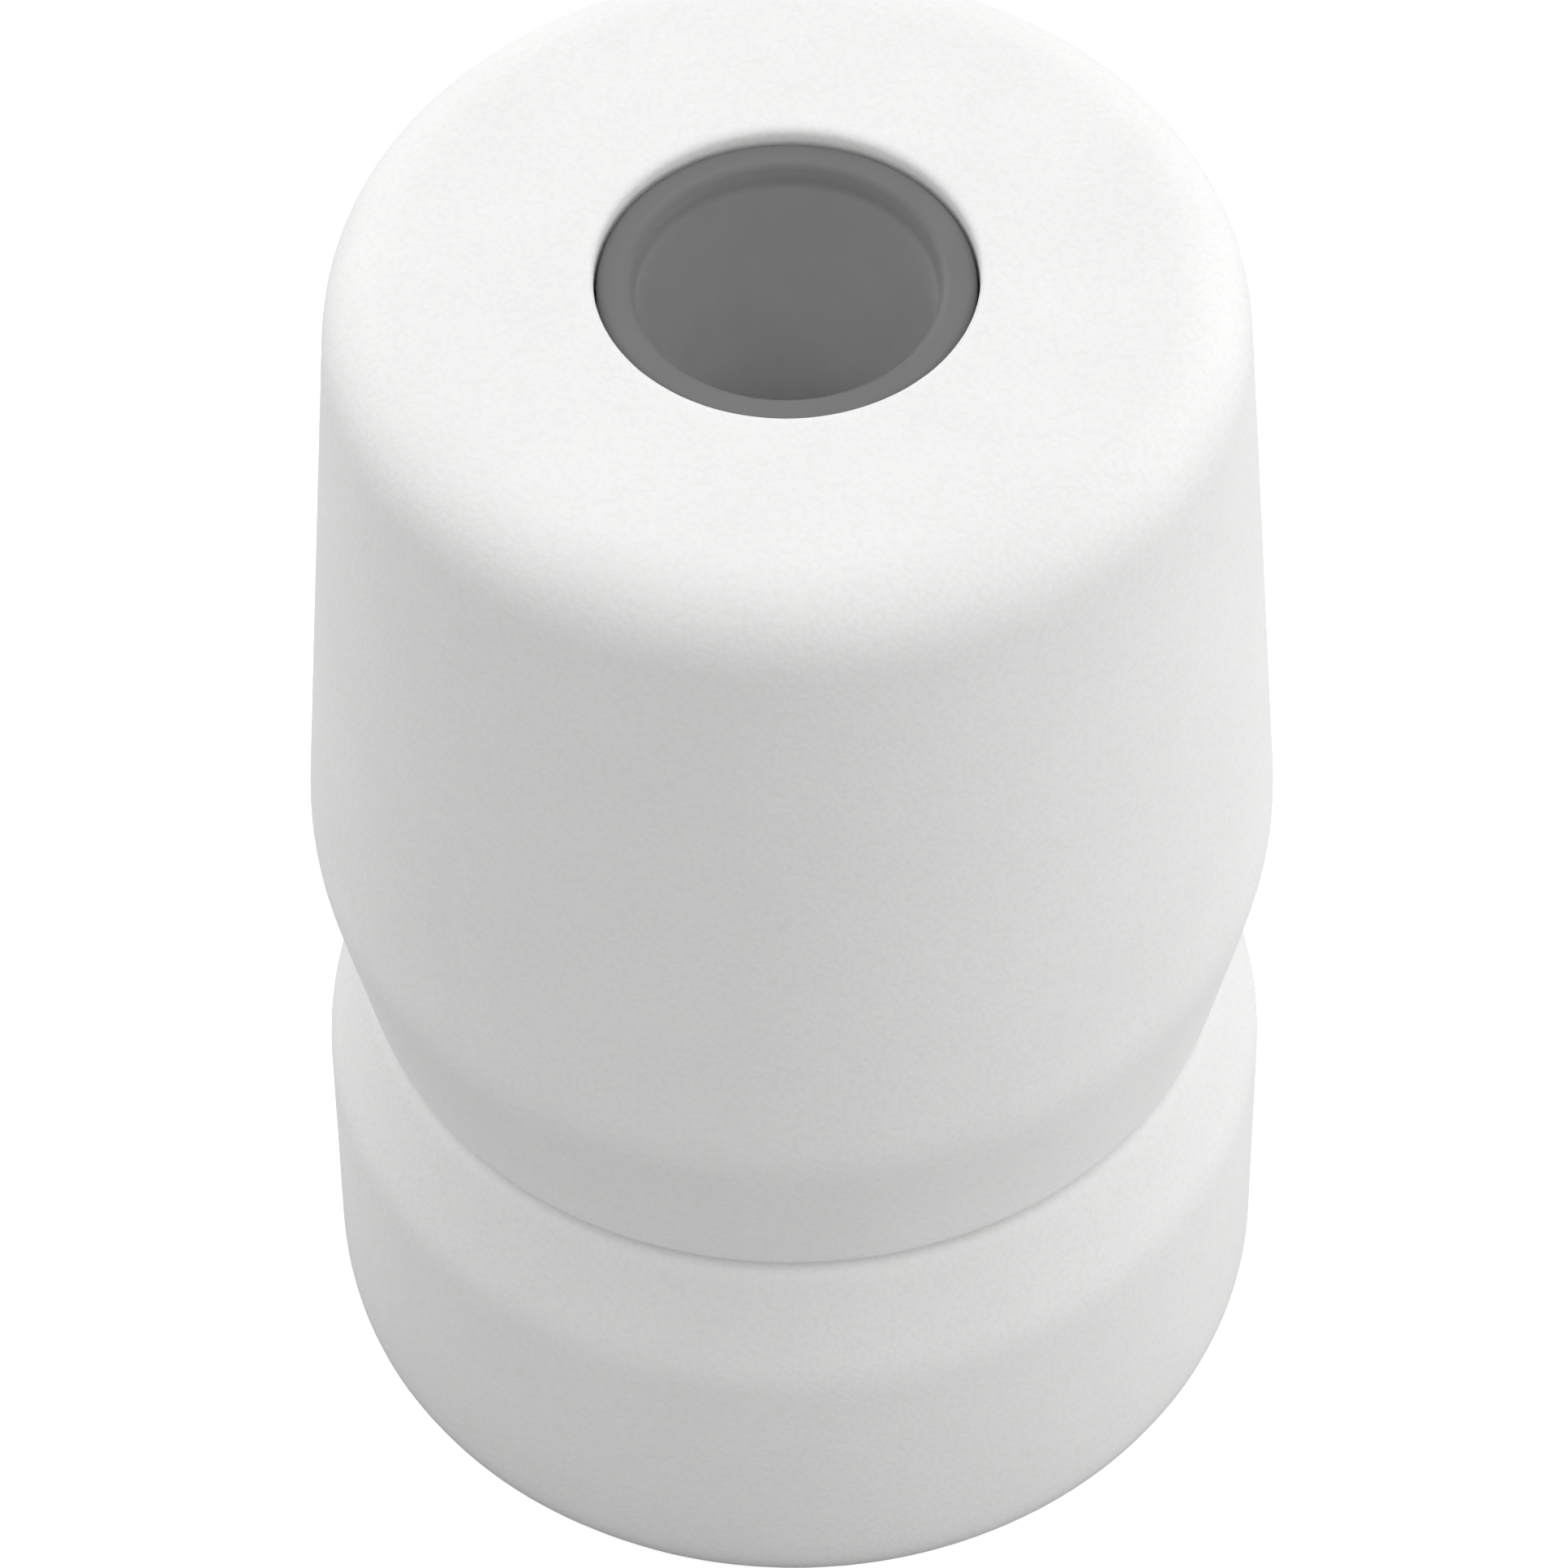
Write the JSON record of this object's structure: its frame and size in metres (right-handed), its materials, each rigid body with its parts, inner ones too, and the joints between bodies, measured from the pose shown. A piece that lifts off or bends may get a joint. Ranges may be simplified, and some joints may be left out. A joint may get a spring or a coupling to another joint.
{
  "type": "pneumatic muffler",
  "caption": "White push-in exhaust muffler: porous upper shell with a round tube socket in its top, a finger groove, and a pull-off base cap over a felt silencing pack.",
  "frame": {"origin": "centre of the base cap's flat bottom face", "axes": "+Z along the muffler's axis, from the base cap up to the tube socket; the body is round, so X and Y are any pair at right angles to it"},
  "size_m": [0.021, 0.021, 0.032],
  "materials": {
    "shell_white": "sintered polyethylene, fine open pores, matt white",
    "cap_white": "sintered polyethylene, fine open pores, matt white",
    "socket_grey": "moulded glass-filled nylon, fine spark texture",
    "sleeve_grey": "moulded acetal, satin",
    "guide_brass": "turned",
    "spring_steel": "stamped stainless spring steel",
    "spacer_natural": "natural acetal, satin",
    "seal_black": "nitrile rubber, dull",
    "diffuser_natural": "natural polypropylene, milky satin",
    "screen_steel": "fine stainless wire cloth",
    "felt": "needled wool felt"
  },
  "bodies": {
    "muffler_body": {"porous_shell": "shell_white", "socket_body": "socket_grey", "collet_guide": "guide_brass", "grab_ring": "spring_steel", "spacer_ring": "spacer_natural", "tube_o_ring": "seal_black", "diffuser_tube": "diffuser_natural", "diffuser_plug": "diffuser_natural", "screen_sleeve": "screen_steel", "felt_rings": "felt", "stack_washer": "spring_steel", "upper_felt_sleeve": "felt"},
    "release_button": {"release_sleeve": "sleeve_grey"},
    "cap_group": {"base_cap": "cap_white", "cap_o_ring": "seal_black", "end_felt_pad": "felt"}
  },
  "joints": [
    {"name": "cap_pull", "type": "slide", "parent": "cap_group", "child": "muffler_body", "axis": [0, 0, 1], "range_m": [0, 0.015]},
    {"name": "release_press", "type": "slide", "parent": "muffler_body", "child": "release_button", "axis": [0, 0, -1], "range_m": [0, 0.0008], "stiffness_N_per_m": 12}
  ]
}
